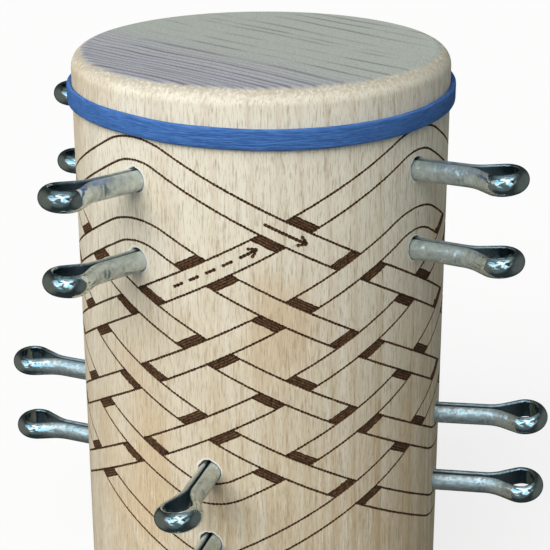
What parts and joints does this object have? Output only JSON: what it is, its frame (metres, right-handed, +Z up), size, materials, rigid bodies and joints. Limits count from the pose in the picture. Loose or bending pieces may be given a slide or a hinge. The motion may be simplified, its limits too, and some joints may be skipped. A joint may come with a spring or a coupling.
{
  "type": "knot-tying loom",
  "caption": "Wooden cylinder loom for tying woven cord knots, with removable steel split pins round both ends, burnt weave guide lines and a rubber band near the top.",
  "frame": {"origin": "centre of the mandrel's flat bottom face", "axes": "+Z up along the mandrel's axis, -Y towards the front, where the weave between the two front columns of top pins is seen"},
  "size_m": [0.1152, 0.1152, 0.127],
  "materials": {
    "wood": "sanded bare poplar",
    "burn": "charred laser-burnt line",
    "band_rubber": "scuffed matte",
    "pin_steel": "bright zinc plated"
  },
  "bodies": {
    "mandrel": {"mandrel": "wood"},
    "rubber_band": {"rubber_band": "band_rubber"},
    "top_outer_pin_1": {"top_outer_pin_1": "pin_steel"},
    "top_outer_pin_2": {"top_outer_pin_2": "pin_steel"},
    "top_outer_pin_3": {"top_outer_pin_3": "pin_steel"},
    "top_outer_pin_4": {"top_outer_pin_4": "pin_steel"},
    "top_inner_pin_1": {"top_inner_pin_1": "pin_steel"},
    "top_inner_pin_2": {"top_inner_pin_2": "pin_steel"},
    "top_inner_pin_3": {"top_inner_pin_3": "pin_steel"},
    "top_inner_pin_4": {"top_inner_pin_4": "pin_steel"},
    "bottom_inner_pin_1": {"bottom_inner_pin_1": "pin_steel"},
    "bottom_inner_pin_2": {"bottom_inner_pin_2": "pin_steel"},
    "bottom_inner_pin_3": {"bottom_inner_pin_3": "pin_steel"},
    "bottom_inner_pin_4": {"bottom_inner_pin_4": "pin_steel"},
    "bottom_outer_pin_1": {"bottom_outer_pin_1": "pin_steel"},
    "bottom_outer_pin_2": {"bottom_outer_pin_2": "pin_steel"},
    "bottom_outer_pin_3": {"bottom_outer_pin_3": "pin_steel"},
    "bottom_outer_pin_4": {"bottom_outer_pin_4": "pin_steel"}
  },
  "joints": [
    {"name": "top_outer_pin_1_pull", "type": "slide", "parent": "mandrel", "child": "top_outer_pin_1", "axis": [-0.621, -0.7807, 0.0698], "range_m": [0, 0.031]},
    {"name": "top_outer_pin_2_pull", "type": "slide", "parent": "mandrel", "child": "top_outer_pin_2", "axis": [0.7807, -0.621, 0.0698], "range_m": [0, 0.031]},
    {"name": "top_outer_pin_3_pull", "type": "slide", "parent": "mandrel", "child": "top_outer_pin_3", "axis": [0.621, 0.7807, 0.0698], "range_m": [0, 0.031]},
    {"name": "top_outer_pin_4_pull", "type": "slide", "parent": "mandrel", "child": "top_outer_pin_4", "axis": [-0.7807, 0.621, 0.0698], "range_m": [0, 0.031]},
    {"name": "top_inner_pin_1_pull", "type": "slide", "parent": "mandrel", "child": "top_inner_pin_1", "axis": [-0.621, -0.7807, 0.0698], "range_m": [0, 0.031]},
    {"name": "top_inner_pin_2_pull", "type": "slide", "parent": "mandrel", "child": "top_inner_pin_2", "axis": [0.7807, -0.621, 0.0698], "range_m": [0, 0.031]},
    {"name": "top_inner_pin_3_pull", "type": "slide", "parent": "mandrel", "child": "top_inner_pin_3", "axis": [0.621, 0.7807, 0.0698], "range_m": [0, 0.031]},
    {"name": "top_inner_pin_4_pull", "type": "slide", "parent": "mandrel", "child": "top_inner_pin_4", "axis": [-0.7807, 0.621, 0.0698], "range_m": [0, 0.031]},
    {"name": "bottom_inner_pin_1_pull", "type": "slide", "parent": "mandrel", "child": "bottom_inner_pin_1", "axis": [-0.2755, -0.9607, 0.0349], "range_m": [0, 0.031]},
    {"name": "bottom_inner_pin_2_pull", "type": "slide", "parent": "mandrel", "child": "bottom_inner_pin_2", "axis": [0.9589, -0.275, 0.0698], "range_m": [0, 0.031]},
    {"name": "bottom_inner_pin_3_pull", "type": "slide", "parent": "mandrel", "child": "bottom_inner_pin_3", "axis": [0.2741, 0.956, 0.1045], "range_m": [0, 0.031]},
    {"name": "bottom_inner_pin_4_pull", "type": "slide", "parent": "mandrel", "child": "bottom_inner_pin_4", "axis": [-0.9589, 0.275, 0.0698], "range_m": [0, 0.031]},
    {"name": "bottom_outer_pin_1_pull", "type": "slide", "parent": "mandrel", "child": "bottom_outer_pin_1", "axis": [-0.2755, -0.9607, 0.0349], "range_m": [0, 0.031]},
    {"name": "bottom_outer_pin_2_pull", "type": "slide", "parent": "mandrel", "child": "bottom_outer_pin_2", "axis": [0.9589, -0.275, 0.0698], "range_m": [0, 0.031]},
    {"name": "bottom_outer_pin_3_pull", "type": "slide", "parent": "mandrel", "child": "bottom_outer_pin_3", "axis": [0.2741, 0.956, 0.1045], "range_m": [0, 0.031]},
    {"name": "bottom_outer_pin_4_pull", "type": "slide", "parent": "mandrel", "child": "bottom_outer_pin_4", "axis": [-0.9589, 0.275, 0.0698], "range_m": [0, 0.031]},
    {"name": "rubber_band_roll_off", "type": "slide", "parent": "mandrel", "child": "rubber_band", "axis": [0, 0, 1], "range_m": [0, 0.015]}
  ]
}
